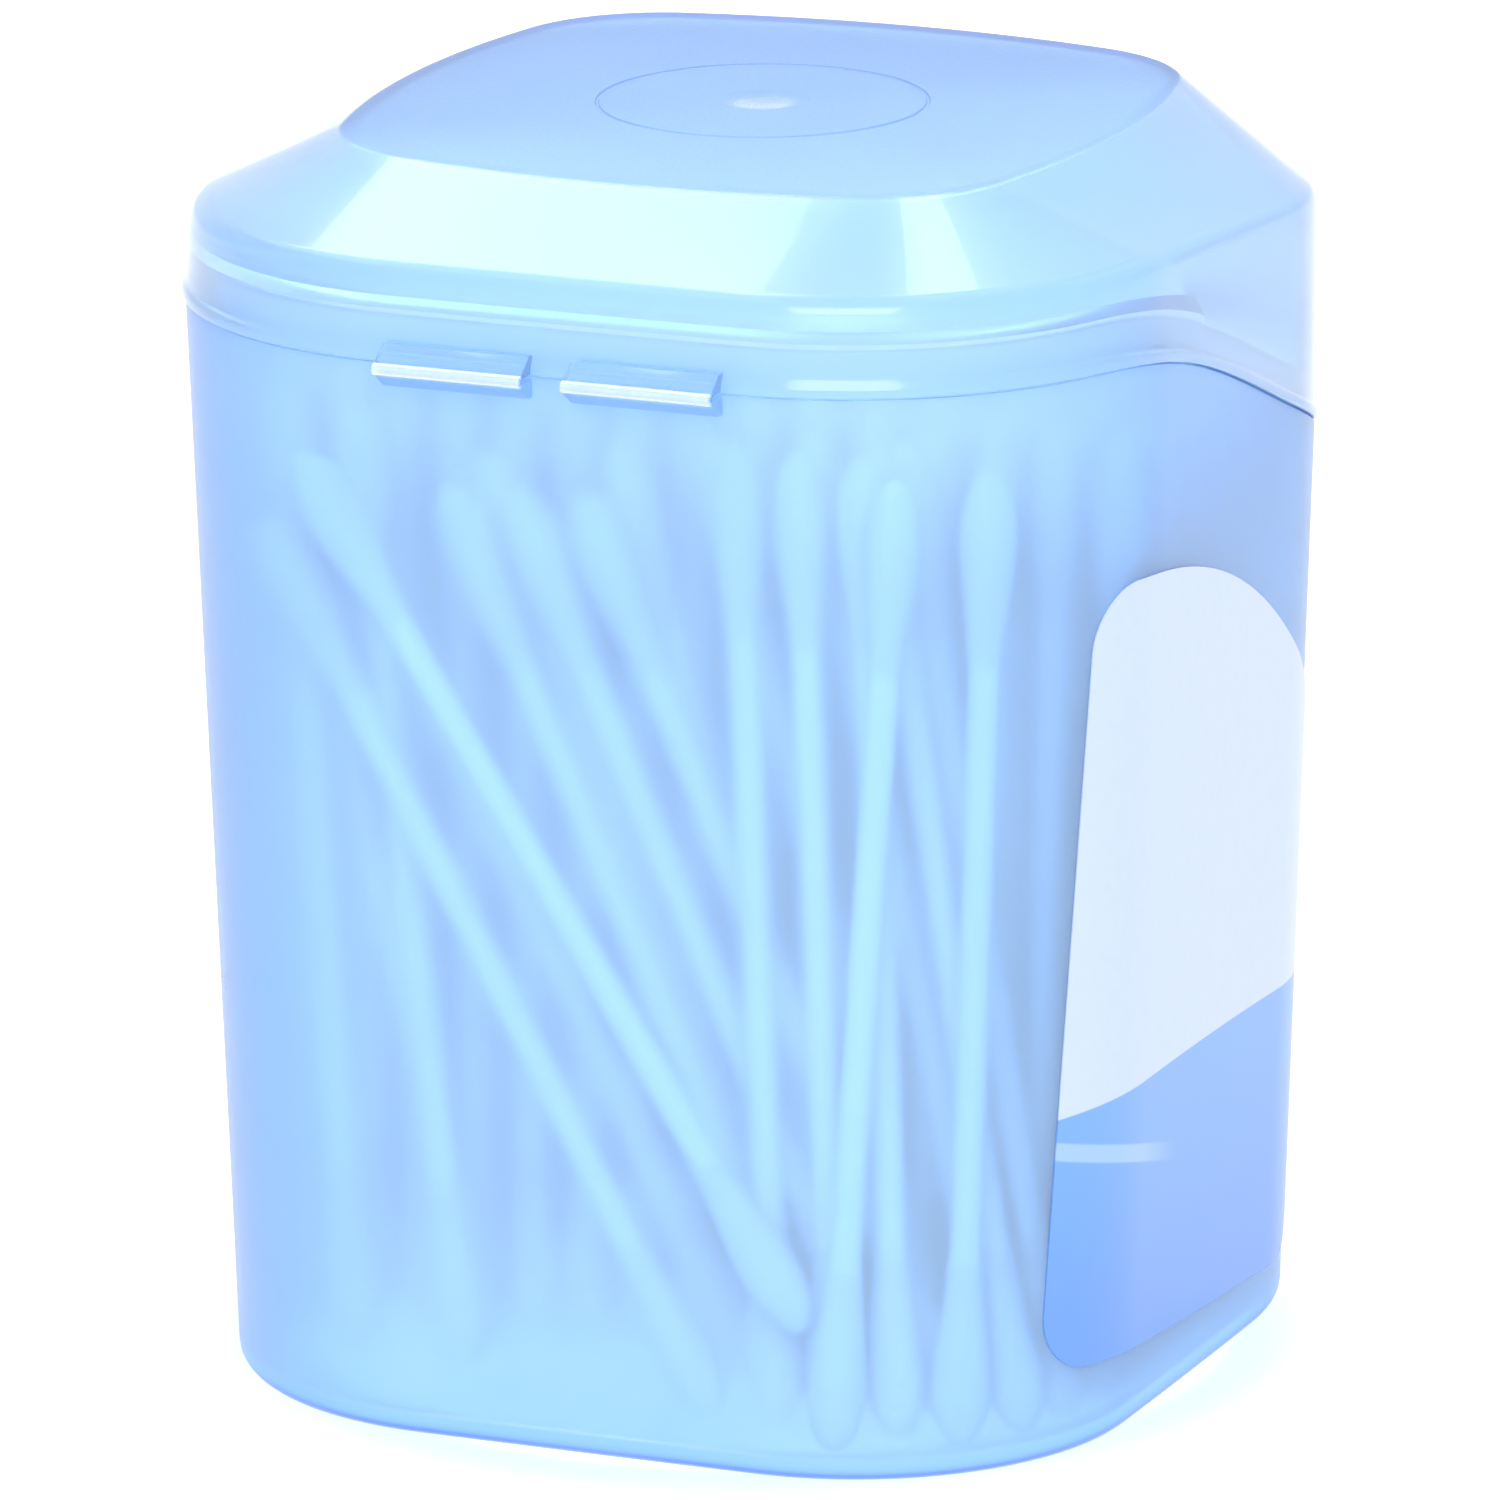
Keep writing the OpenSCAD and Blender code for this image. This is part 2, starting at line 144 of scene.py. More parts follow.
class Finish:
    """A material with one Principled shader, set by its own sockets or by wires."""

    def __init__(self, name, **surface):
        self.material = bpy.data.materials.new(name)
        self.material.use_nodes = True
        self.tree = self.material.node_tree
        self.tree.nodes.clear()
        named = {key.replace("_", " "): value for key, value in surface.items()}
        self.shader = self.node("ShaderNodeBsdfPrincipled", {}, named)
        self.output = self.tree.nodes.new("ShaderNodeOutputMaterial")
        plug(self.output.inputs["Surface"], self.shader)
        print("finish", name)

    def node(self, kind, settings, values, output=0):
        """Adds a node, with its settings first, then its inputs by name or number."""
        node = self.tree.nodes.new(kind)
        for key, value in settings.items():
            if key == "stops":
                ramp = node.color_ramp.elements
                while len(ramp) < len(value):
                    ramp.new(0.5)
                for stop, (place, colour) in zip(ramp, value):
                    stop.position, stop.color = place, (*colour, 1)
            else:
                setattr(node, key, value)
        for key, value in values.items():
            plug(node.inputs[key], value)
        return None if output is None else Wire(node.outputs[output])

    def set(self, **surface):
        for key, value in surface.items():
            plug(self.shader.socket.node.inputs[key.replace("_", " ")], value)

    def place(self, output="Object"):
        return self.node("ShaderNodeTexCoord", {}, {}, output)

    def noise(self, where, scale, detail=2.0, roughness=0.5):
        return self.node("ShaderNodeTexNoise", {}, {
            "Vector": where, "Scale": scale, "Detail": detail, "Roughness": roughness})

    def band(self, value, low, high, start=0.0, end=1.0):
        """Runs smoothly from start to end as the value goes from low to high."""
        return self.node("ShaderNodeMapRange", {"interpolation_type": "SMOOTHSTEP"}, {
            "Value": value, "From Min": low, "From Max": high, "To Min": start, "To Max": end})

    def blend(self, mask, first, second):
        """The first colour where the mask is 0, the second where it is 1."""
        return self.node("ShaderNodeMix", {"data_type": "RGBA"}, {0: mask, 6: first, 7: second}, 2)

    def dye(self, colour, density):
        """Tints the inside of a clear piece, so a longer way through it is deeper in colour."""
        plug(self.output.inputs["Volume"], self.node(
            "ShaderNodeVolumeAbsorption", {}, {"Color": colour, "Density": density}))

    def let_light_in(self, tint):
        """Rays on their way to a lamp pass straight through, tinted."""
        lamp_ray = self.node("ShaderNodeLightPath", {}, {}, "Is Shadow Ray")
        clear = self.node("ShaderNodeBsdfTransparent", {}, {"Color": tint})
        plug(self.output.inputs["Surface"], self.node(
            "ShaderNodeMixShader", {}, {0: lamp_ray, 1: self.shader, 2: clear}))

    def bump(self, height, strength, depth):
        self.set(Normal=self.node("ShaderNodeBump", {}, {
            "Height": height, "Strength": strength, "Distance": depth}))


# %% [markdown]
# ## Table and light
# The photograph has a white table that runs out of the picture, light from all
# around, and two reflections on the lid's slope: a wide patch and a narrow slant. A
# room with many lamps would also do, but a bright even sky gives the same soft fill
# with less noise. Thin plastic is lit from inside as much as from outside, so the
# table glows and a large key lamp stands on the camera's side. Each lamp behind the
# tub is placed where the camera's ray goes after it bounces off the slope.

# %% A mesh piece from points and faces
def mesh_piece(name, points, faces, material=None):
    mesh = bpy.data.meshes.new(name)
    mesh.from_pydata([tuple(p) for p in points], [], faces)
    mesh.update()
    piece = bpy.data.objects.new(name, mesh)
    bpy.context.scene.collection.objects.link(piece)
    if material is not None:
        mesh.materials.append(material)
    return piece


# %% [markdown]
# A table lit evenly from above and through the tub shows next to no shadow, only a
# faint blue shadow round the tub's foot, where light comes through the blue plastic. A
# lit white surface would be truer, but each ray that meets it has to go on. A glowing
# surface stands in for it, and a ray ends there. The blue shadow is painted on it as a
# ring of dimmer, bluer glow, matched to the photograph.

# %% White table with a painted blue shadow round the foot
table_finish = Finish("table_white")
foot_inner, foot_edge, painted_shadow_end = 0.032, 0.036, 0.048
from_foot = table_finish.node("ShaderNodeVectorMath", {"operation": "LENGTH"}, {
    0: table_finish.place() * (1.0, 1.0, 0.0)}, "Value")
# The ring round the tub's foot is a painted blue shadow: there the table's glow is dimmer and bluer.
painted_foot_shadow = table_finish.band(from_foot, foot_inner, foot_edge)
painted_foot_shadow = painted_foot_shadow * table_finish.band(from_foot, foot_edge, painted_shadow_end, 1.0, 0.0)
table_glow = table_finish.node("ShaderNodeEmission", {}, {
    "Strength": 1.4, "Color": table_finish.blend(painted_foot_shadow, (1.0, 1.0, 1.0), (0.62, 0.72, 0.8))})
plug(table_finish.output.inputs["Surface"], table_glow)
table_half = 3.0
corners = [(-table_half, -table_half, 0), (table_half, -table_half, 0),
           (table_half, table_half, 0), (-table_half, table_half, 0)]
table = mesh_piece("table", corners, [(0, 1, 2, 3)], table_finish.material)
table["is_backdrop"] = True
print("table:", 2 * table_half, "m wide")

# %% [markdown]
# The sky is one even colour a shade cooler than the table. Sky and table fill every
# direction, so a ray that bounces always finds them and they needn't be aimed at as
# lamps, and lamps are picked without a light tree. That also makes the inside darker,
# which the strengths make good. A ray ends after eight bounces: more of them brightened
# the swabs by only a few steps out of 255.

# %% Even sky, and how far a ray may go
world = bpy.data.worlds.new("sky")
world.use_nodes = True
world.node_tree.nodes["Background"].inputs["Color"].default_value = (0.97, 0.985, 1, 1)
world.node_tree.nodes["Background"].inputs["Strength"].default_value = 1.15
bpy.context.scene.world = world
bpy.context.scene.view_settings.view_transform = "Standard"
rays = bpy.context.scene.cycles
rays.max_bounces, rays.transmission_bounces, rays.diffuse_bounces = 8, 8, 3
rays.debug_bvh_type, rays.debug_use_spatial_splits = "STATIC_BVH", True
rays.use_light_tree = False
world.cycles.sampling_method = "NONE"
table_finish.material.cycles.emission_sampling = "NONE"
print("a ray may bounce", rays.max_bounces, "times")

# %% [markdown]
# Each softbox is an area lamp that faces the tub. The two behind it show as the
# reflections on the slope, and the key on the camera's side fills the hinge side.

# %% Three softboxes
lid_middle = Vector((0, 0, 0.09))


def softbox(name, towards, away, wide, high, watts):
    lamp = bpy.data.objects.new(name, bpy.data.lights.new(name, "AREA"))
    lamp.data.shape, lamp.data.size, lamp.data.size_y, lamp.data.energy = "RECTANGLE", wide, high, watts
    place = lid_middle + Vector(towards).normalized() * away
    lamp.matrix_world = Matrix.Translation(place) @ (
        Vector(towards).to_track_quat("Z", "Y").to_matrix().to_4x4())
    bpy.context.scene.collection.objects.link(lamp)


softbox("back_softbox", (0.415, -0.345, 0.85), 1.2, 0.3, 0.6, 2.1)
softbox("strip_softbox", (0.043, -0.53, 0.847), 1.2, 0.12, 0.6, 1)
softbox("key_softbox", (-0.28, 0.82, 0.50), 1.3, 0.8, 0.8, 10.5)

# %% [markdown]
# ## The outline that every ring follows
# Seen from above, the tub is a square with four slightly bowed sides and four round
# corners. A subdivided cube would give soft corners of no certain size, so the outline
# is drawn from arcs: each station keeps the centre and radius of its arc, and growing
# the outline only adds to the radius. Sizes in this part are in millimetres.

# %% The tub's plan and its S-curve
half_base, corner_radius, side_radius = 34.75, 21.5, 800.0
draft, parting_z, dip, dip_start, dip_length = 0.035, 81.3, 16.0, 22.4, 59.0
top_half, top_corner, top_side, top_shift, top_z = 27.5, 11.5, 74.0, 1.2, 93.4
side_steps, corner_steps = 20, 30
mm = 0.001


def outline(half, corner, bow):
    k = bow - half
    c = (math.sqrt(2 * (bow - corner) ** 2 - k * k) - k) / 2
    t = math.atan2(c, c + bow - half)
    side = [(-k, 0, bow, a) for a in np.linspace(-t, t, side_steps, endpoint=False)]
    corner_arc = [(c, c, corner, a) for a in np.linspace(t, math.pi / 2 - t, corner_steps, endpoint=False)]
    return np.array([(*s, q * math.pi / 2) for q in range(4) for s in side + corner_arc])


def spots(plan, grow=0.0):
    """The outline's points in X and Y, moved outwards."""
    x = plan[:, 0] + (plan[:, 2] + grow) * np.cos(plan[:, 3])
    y = plan[:, 1] + (plan[:, 2] + grow) * np.sin(plan[:, 3])
    c, s = np.cos(plan[:, 4]), np.sin(plan[:, 4])
    return np.c_[x * c - y * s, x * s + y * c]


def ease(t):
    t = np.clip(t, 0, 1)
    return t * t * (3 - 2 * t)


tub_plan, top_plan = outline(half_base, corner_radius, side_radius), outline(top_half, top_corner, top_side)
stations = len(tub_plan)
fall = ease((dip_start - spots(tub_plan, draft * parting_z)[:, 1]) / dip_length)
edge = parting_z - dip * fall
rim = edge + 3.3
crease = 88.1 - 3.0 * fall


def ring(grow, z):
    xy = spots(tub_plan, np.broadcast_to(grow, stations))
    return np.c_[xy, np.broadcast_to(z, stations)]


def wall_ring(z, inset):
    """A ring on the tub's drafted wall, moved in by a distance."""
    return ring(draft * np.asarray(z) - inset, z)


def top_ring(inset, z):
    xy = spots(top_plan, -inset)
    return np.c_[xy[:, 0], xy[:, 1] - top_shift, np.full(stations, z)]


def mix(a, b, t):
    return np.asarray(a) * (1 - t) + np.asarray(b) * t


print("stations:", stations, "parting line from", edge.min().round(2), "to", edge.max().round(2), "mm")

# %% [markdown]
# ## Skinning rings into a shell
# A moulded wall is a closed skin: outside, over the rim, and down the inside. It could
# be a surface thickened by a Solidify modifier, but the neck, the rim and the floor
# have their own thicknesses. Lofting through rings gives each its real size. Long
# spans get extra rings near their ends, so the shading of a small round doesn't
# spread over the flat next to it.

# %% Loft rings, with a fan at each end
hold = (0.02, 0.25, 0.5, 0.75, 0.98)


def between(first, last, steps=hold):
    return [mix(first, last, t) for t in steps]


def skin(name, rings, material, sharp=35):
    n = len(rings[0])
    points = [p for r in rings for p in r] + [rings[0].mean(axis=0), rings[-1].mean(axis=0)]
    first, last = len(points) - 2, len(points) - 1
    top = (len(rings) - 1) * n
    faces = [(first, (i + 1) % n, i) for i in range(n)]
    faces += [(j * n + i, j * n + (i + 1) % n, (j + 1) * n + (i + 1) % n, (j + 1) * n + i)
              for j in range(len(rings) - 1) for i in range(n)]
    faces += [(last, top + i, top + (i + 1) % n) for i in range(n)]
    piece = mesh_piece(name, np.array(points) * mm, faces, material)
    smooth(piece, sharp)
    return piece


def smooth(piece, sharp=35):
    piece.data.polygons.foreach_set("use_smooth", [True] * len(piece.data.polygons))
    piece.data.set_sharp_from_angle(angle=math.radians(sharp))


def fuse(piece, *others):
    """Joins closed pieces into one skin and keeps the first."""
    for other in others:
        join = piece.modifiers.new("fuse", "BOOLEAN")
        join.operation, join.solver, join.object = "UNION", "EXACT", other
    fused = bpy.data.meshes.new_from_object(piece.evaluated_get(bpy.context.evaluated_depsgraph_get()))
    piece.modifiers.clear()
    piece.data = fused
    for other in others:
        bpy.data.objects.remove(other)
    smooth(piece)


# %% [markdown]
# ## Blue polypropylene
# Polypropylene is milky: light passes, but it is scattered a little on the way, so the
# swabs show as soft shapes. Real volume scattering is slow and noisy. A rough
# transmission gives the same soft view, since a ray that crosses two rough skins is
# spread by more the farther the thing behind stands. The blue is a dye inside the
# plastic, so an edge, seen through more of it, is deeper in colour than a flat wall.
# A clear coat on the lid keeps the sharp reflections of the polished mould, and its
# flat top is matt. Lamp rays pass the wall straight and tinted, which real plastic
# doesn't do: without that, the swabs came out about 20 steps out of 255 darker.

# %% The tub's plastic and the lid's plastic
slope_end, flat_start = 0.0931, 0.0933


def plastic(name, bend, clear, haze, light, dark, matt_top):
    finish = Finish(name, IOR=bend, Transmission_Weight=clear, Coat_Roughness=0.04, Coat_IOR=1.5)
    where = finish.place()
    cloud = finish.noise(where, 60.0, 1.0)
    finish.set(Base_Color=finish.blend(cloud, dark, light))
    rough = haze + cloud * 0.06
    if matt_top:
        height = finish.node("ShaderNodeSeparateXYZ", {}, {"Vector": where}, "Z")
        matt = finish.band(height, slope_end, flat_start)
        rough = rough + matt * 0.3
        finish.set(Coat_Weight=0.35 - matt * 0.35)
        finish.bump(finish.noise(where, 2600.0, 1.0) * matt, 0.25, 0.0001)
    finish.set(Roughness=rough)
    finish.dye((0.06, 0.55, 0.97), 190)
    finish.let_light_in((0.95, 0.95, 1.0))
    return finish.material


tub_plastic = plastic("tub_plastic", 1.25, 0.78, 0.26, (0.64, 0.82, 1.0), (0.60, 0.80, 1.0), False)
lid_plastic = plastic("lid_plastic", 1.4, 0.8, 0.16, (0.64, 0.83, 1.0), (0.60, 0.81, 1.0), True)

# %% [markdown]
# ## The hinge's lugs
# Two pairs of lugs stand out where the lid meets the tub. Each is a wedge, thick at the
# wall and thin at its outer edge, where the film starts. A plain extrusion would look
# cut out, so its edges are rounded by a Bevel modifier before it joins the wall.

# %% Lower and upper lugs
wall_y = half_base + draft * parting_z
lug_width, lug_gap, lug_out, lug_flat = 11.4, 3.2, 1.9, 0.5
lug_height, lug_tip, film_round = 1.4, 0.45, 0.15
lug_y, hinge_z = wall_y + lug_out, parting_z + 0.05
lug_middle = (lug_gap + lug_width) / 2
root_y = wall_y - 0.55


def lug(side, way):
    profile = [(root_y, film_round), (lug_y, film_round), (lug_y, film_round + lug_tip),
               (wall_y + lug_flat, film_round + lug_height), (root_y, film_round + lug_height)]
    n = len(profile)
    ends = [side * lug_middle - lug_width / 2, side * lug_middle + lug_width / 2]
    points = [(x, y, hinge_z + way * z) for x in ends for y, z in profile]
    faces = [tuple(range(n)), tuple(range(2 * n - 1, n - 1, -1))]
    faces += [(i, i + n, (i + 1) % n + n, (i + 1) % n) for i in range(n)]
    piece = mesh_piece("lug", np.array(points) * mm, faces)
    rounding = piece.modifiers.new("rounding", "BEVEL")
    rounding.width, rounding.segments, rounding.limit_method = 0.12 * mm, 3, "ANGLE"
    shape = bmesh.new()
    shape.from_mesh(bpy.data.meshes.new_from_object(
        piece.evaluated_get(bpy.context.evaluated_depsgraph_get())))
    bmesh.ops.recalc_face_normals(shape, faces=shape.faces)
    piece.modifiers.clear()
    shape.to_mesh(piece.data)
    shape.free()
    return piece


# %% [markdown]
# ## The tub
# The wall rises from a rounded foot to the S-shaped parting line, steps in to the
# neck that the lid closes over, turns over the rim and runs down inside to the floor.
# Cutting an inner block from an outer one would need a clean-up at every edge. Here
# the small rounds are rings of their own, each at its real radius.

# %% The tub's shell
wall, floor_z, foot_round, floor_round = 1.6, 1.4, 2.0, 1.0
neck_in, lip_round = 0.85, 0.2
quarter = [math.radians(a) for a in range(0, 91, 15)]
foot = np.full(stations, foot_round)
inner_low = np.full(stations, floor_z + floor_round)
tub_rings = [wall_ring(np.full(stations, foot_round * (1 - math.cos(a))), foot_round * (1 - math.sin(a)))
             for a in quarter]
tub_rings += [wall_ring(mix(foot, edge, t), 0) for t in (0.01, 0.15, 0.35, 0.55, 0.75, 0.9, 0.985)]
tub_rings += [wall_ring(edge - 0.12, 0), wall_ring(edge - 0.04, 0.04), wall_ring(edge, 0.12),
              wall_ring(edge, neck_in), wall_ring(edge + 0.1, neck_in), wall_ring(rim - lip_round, neck_in)]
tub_rings += [wall_ring(rim - lip_round * (1 - math.sin(a)), neck_in + lip_round * (1 - math.cos(a)))
              for a in quarter[2::2]]
tub_rings += [wall_ring(rim - lip_round * (1 - math.cos(a)), wall - lip_round * (1 - math.sin(a)))
              for a in quarter[::2]]
tub_rings += [wall_ring(mix(inner_low, rim - lip_round, t), wall)
              for t in (0.985, 0.9, 0.7, 0.5, 0.3, 0.1, 0.01)]
tub_rings += [wall_ring(np.full(stations, floor_z + floor_round * (1 - math.sin(a))),
                        wall + floor_round * (1 - math.cos(a))) for a in quarter]

tub = skin("tub_shell", tub_rings, tub_plastic)
fuse(tub, lug(-1, -1), lug(1, -1))
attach(tub, "tub")
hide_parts("tub")
print("tub shell:", len(tub.data.polygons), "faces")

# %% [markdown]
# ## The lid
# From outside in: a flat matt top with a fine turned ring and a small moulding
# dimple, four slopes, a crease, and a skirt that ends in a proud bead just above the
# parting line. The top's rings go from the rounded square to true circles, so the
# groove and the dimple are real shapes in the skin.

# %% The lid's inside, bead, skirt and crease
lid_wall, skirt, bead, bead_high, crown = 1.2, 0.65, 0.25, 1.0, 2.4
groove_r, groove_w, dimple_r, dimple_deep = 12.1, 0.3, 3.4, 0.35
edge_grow, low, catch = draft * edge, edge + 0.1, rim + 0.6
bearing = np.arctan2(top_ring(0, 0)[:, 1] + top_shift, top_ring(0, 0)[:, 0])


def turned(r, z):
    return np.c_[r * np.cos(bearing), r * np.sin(bearing) - top_shift, np.full(stations, z)]


inside = [turned(0.5, top_z - lid_wall), top_ring(0.9, top_z - lid_wall),
          top_ring(0.5, top_z - lid_wall - 0.1)]
inside += between(inside[-1], ring(crown - lid_wall - 0.5, crease - 0.6))
inside += [ring(crown - lid_wall - 0.5, crease - 0.6), ring(crown - lid_wall, crease - 1.2),
           ring(mix(edge_grow, crown, 0.6) - lid_wall, mix(catch, crease, 0.25)),
           ring(draft * catch - skirt, catch), ring(draft * low - skirt, low + 0.05),
           ring(draft * low - skirt + 0.05, low)]
bead_rings = [ring(edge_grow + bead - 0.12, low), ring(edge_grow + bead - 0.04, low + 0.04),
              ring(edge_grow + bead, low + 0.12), ring(edge_grow + bead, low + bead_high - 0.4),
              ring(edge_grow + bead - 0.07, low + bead_high - 0.2),
              ring(edge_grow + 0.08, low + bead_high - 0.05),
              ring(edge_grow + 0.03, low + bead_high + 0.05)]
skirt_rings = [ring(mix(edge_grow, crown, t), mix(low, crease, t)) for t in (0.2, 0.4, 0.6, 0.8)]
crease_rings = [ring(crown, crease - 1), ring(crown - 0.04, crease - 0.7), ring(crown - 0.14, crease - 0.4),
                ring(crown - 0.3, crease - 0.12), ring(crown - 0.55, crease + 0.12),
                ring(crown - 0.95, crease + 0.4)]
print("rings from the inside to the crease:", len(inside + bead_rings + skirt_rings + crease_rings))

# %% [markdown]
# The slopes run up from the crease to the small round at the top's edge. Rings across
# the flat go on to the groove and end in the dimple, which is a shallow dish.

# %% The slopes, the top and the whole lid
slope = between(crease_rings[-1], top_ring(-0.5, top_z - 0.25), (0.015, 0.2, 0.4, 0.6, 0.8, 0.985))
top_edge = [top_ring(-0.5, top_z - 0.25), top_ring(-0.25, top_z - 0.14), top_ring(0, top_z - 0.06),
            top_ring(0.25, top_z - 0.015), top_ring(0.5, top_z)]
flat = between(top_edge[-1], turned(groove_r + groove_w / 2 + 0.06, top_z), (0.02, 0.5, 0.98))
groove = [turned(groove_r + groove_w / 2 + 0.06, top_z), turned(groove_r + groove_w / 2, top_z - 0.02),
          turned(groove_r + 0.08, top_z - 0.13), turned(groove_r, top_z - 0.15),
          turned(groove_r - 0.08, top_z - 0.13),
          turned(groove_r - groove_w / 2, top_z - 0.02), turned(groove_r - groove_w / 2 - 0.06, top_z)]
dimple = [turned(r, top_z - dimple_deep * (1 - (r / dimple_r) ** 2) if r < dimple_r else top_z)
          for r in (11.0, 7.0, 3.8, 3.5, 3.3, 3.0, 2.4, 1.6, 0.8, 0.2)]

lid_rings = inside + bead_rings + skirt_rings + crease_rings
lid_rings += slope + top_edge + flat + groove + dimple
lid = skin("lid_shell", lid_rings, lid_plastic)
fuse(lid, lug(-1, 1), lug(1, 1))
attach(lid, "lid")
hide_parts("lid")
print("lid shell:", len(lid.data.polygons), "faces")

# %% [markdown]
# ## The folded films
# Between each pair of lugs runs a film, thin enough to fold. Folding stretches the
# plastic and turns it white, so the film is paler than the rest.

# %% Two living hinges
film_finish = Finish("hinge_film", Roughness=0.55, IOR=1.4, Transmission_Weight=0.6)
streak = film_finish.noise(film_finish.place() * (1500.0, 300.0, 300.0), 1.0, 3.0)
film_finish.set(Base_Color=film_finish.blend(streak, (0.62, 0.80, 0.97), (0.80, 0.91, 1.0)))

film, film_leg = 0.3, 0.1
outer = film_round + film


def hinge_film(side, name):
    bend = [math.radians(a) for a in range(-90, 91, 10)]
    fold_y = lug_y + film_leg
    profile = [(lug_y, -outer)] + [(fold_y + outer * math.cos(a), outer * math.sin(a)) for a in bend]
    profile += [(lug_y, outer), (lug_y, film_round)]
    profile += [(fold_y + film_round * math.cos(a), film_round * math.sin(a)) for a in reversed(bend)]
    profile += [(lug_y, -film_round)]
    n, middle = len(profile), side * lug_middle
    xs = np.linspace(middle - lug_width / 2, middle + lug_width / 2, 13)
    points = [(x, y, hinge_z + z) for x in xs for y, z in profile]
    faces = [(j * n + i, (j + 1) * n + i, (j + 1) * n + (i + 1) % n, j * n + (i + 1) % n)
             for j in range(len(xs) - 1) for i in range(n)]
    faces += [tuple(range(n)), tuple(range(len(points) - 1, len(points) - 1 - n, -1))]
    piece = mesh_piece(name, np.array(points) * mm, faces, film_finish.material)
    smooth(piece)
    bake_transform(piece)
    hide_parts(name)


hinge_film(1, "hinge_strap_left")
hinge_film(-1, "hinge_strap_right")
print("films fold about y =", round(lug_y + film_leg, 2), "mm, z =", round(hinge_z, 2), "mm")

# %% [markdown]
# ## Paper sticks
# A stick is a strip of paper rolled tight, so its surface is matt with faint lines
# along it. New smooth tubes could replace the CAD cylinders, but those already have
# the right shape behind the hazy wall, so they only get the finish: a grain that is
# stretched along the stick by a smaller scale in that direction.

# %% Rolled paper
paper = Finish("stick_paper", Roughness=0.75)
grain = paper.noise(paper.place() * (9000.0, 9000.0, 500.0), 1.0, 1.0)
paper.set(Base_Color=paper.blend(grain, (0.88, 0.90, 0.92), (0.97, 0.975, 0.98)))
paper.bump(grain, 0.3, 0.00005)
stick_rows = sorted(name for name in nodes if name.startswith("swab_sticks"))
for name in stick_rows:
    for place in nodes[name].material_slots:
        place.material = paper.material
print("rows of sticks:", len(stick_rows))

# %% [markdown]
# ## Where every stick stands
# The cotton has to sit on its own stick. The sticks' places could be typed in again,
# but the CAD sticks already hold them: each loose island of a row's mesh is one stick,
# and its longest direction is the stick's axis.

# %% Find the two ends of each stick
def stick_ends(row):
    """The lower and upper end of every stick of a row, from left to right."""
    shape = bmesh.new()
    shape.from_mesh(row.data)
    bmesh.ops.remove_doubles(shape, verts=shape.verts, dist=1e-6)
    seen, ends = set(), []
    for first in shape.verts:
        if first in seen:
            continue
        island, queue = [], [first]
        seen.add(first)
        while queue:
            vert = queue.pop()
            island.append(vert.co[:])
            fresh = {e.other_vert(vert) for e in vert.link_edges} - seen
            seen |= fresh
            queue.extend(fresh)
        points = np.array(island)
        along = np.linalg.svd(points - points.mean(axis=0), full_matrices=False)[2][0]
        along = along * np.sign(along[2])
        reach = points @ along
        ends.append(tuple(points[abs(reach - goal) < 1e-5].mean(axis=0)
                          for goal in (reach.min(), reach.max())))
    shape.free()
    return sorted(ends, key=lambda pair: pair[0][0])


sticks = {name[-2:]: stick_ends(nodes[name]) for name in stick_rows}
counts = [len(ends) for ends in sticks.values()]
print("sticks in each row:", counts, "in all:", sum(counts))

# %% [markdown]
# ## Wound cotton
# A bud is cotton spun round the end of a stick, so its fibres run round it on a slight
# slant and it is a little lumpy. A smooth revolved shape looks like wax. Each bud is
# a ring mesh of its own: a domed end, a slow taper, gentle lumps that follow the
# winding, and a real bore for the stick. Its map runs round and along the bud, and
# the finish uses that map to lay fine fibres in the winding's direction.

# %% The cotton's finish
cotton = Finish("cotton", Roughness=0.95, Sheen_Weight=0.3, Sheen_Roughness=0.5, Sheen_Tint=(1, 1, 1))
wound = cotton.place("UV")
fibre = cotton.noise(wound * (1.0, 150.0, 1.0), 6.0, 2.0, 0.65)
tuft = cotton.noise(wound * (1.0, 12.0, 1.0), 3.0, 1.0)
cotton.set(Base_Color=cotton.blend(fibre * 0.6 + tuft * 0.4, (0.86, 0.87, 0.88), (1.0, 1.0, 0.99)))
cotton.bump(fibre * 0.7 + tuft * 0.3, 0.6, 0.0002)

# %% [markdown]
# A bud's rings run from its tip along its stick, over the long taper, and back down the
# bore. Three slow waves at chance places make it lumpy, each bud in its own way.

# %% The shape of one bud
bud_long, dome, tip, bud_round, around = 14.0, 4.6, 1.6, 2.15, 20
stick_round, thin = 1.17, 1.32
chance = random.Random(7)


def bud_radius(s):
    """The bud's radius at a distance from its tip."""
    if s < dome:
        return bud_round * math.sqrt(max(0, 1 - ((dome - s) / dome) ** 2))
    share = (s - dome) / (bud_long - dome)
    return thin + (bud_round - thin) * (1 + math.cos(math.pi * share)) / 2


